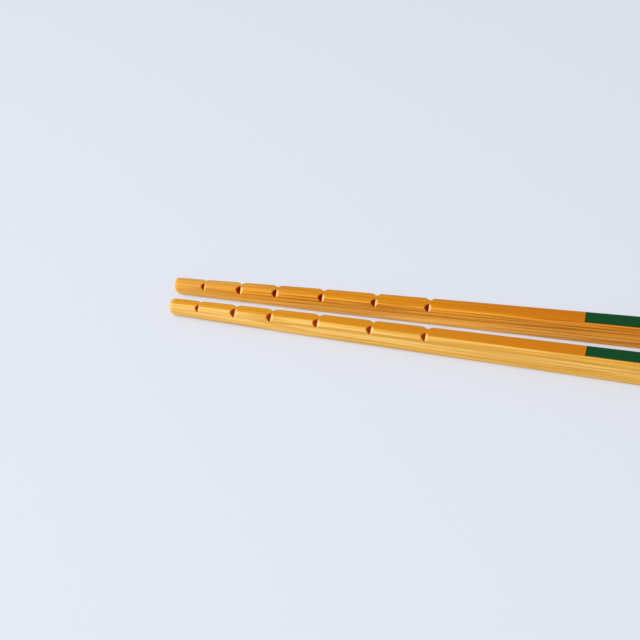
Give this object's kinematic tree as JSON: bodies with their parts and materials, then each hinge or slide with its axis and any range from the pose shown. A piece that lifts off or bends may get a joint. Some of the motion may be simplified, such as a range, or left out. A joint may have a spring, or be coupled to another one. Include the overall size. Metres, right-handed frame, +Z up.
{
  "type": "pair of chopsticks",
  "caption": "Pair of tapering square bamboo chopsticks with rounded corners, rounded tips, V-notched eating ends and a green lacquered face towards the head.",
  "frame": {"origin": "middle of the pair's bounding box in X and Y, at the height of the table that both sticks lie on", "axes": "+X from the tips to the heads, +Y from the front stick to the rear one, +Z up, away from the table"},
  "size_m": [0.2313, 0.026, 0.0073],
  "materials": {
    "bamboo_rear": "clear satin lacquer over carbonised bamboo, green lacquer on the bark face from 83 mm behind the tip",
    "bamboo_front": "clear satin lacquer over pale bamboo, green lacquer on the bark face from 83 mm behind the tip"
  },
  "bodies": {
    "root": {"rear_chopstick": "bamboo_rear", "front_chopstick": "bamboo_front"}
  },
  "joints": []
}
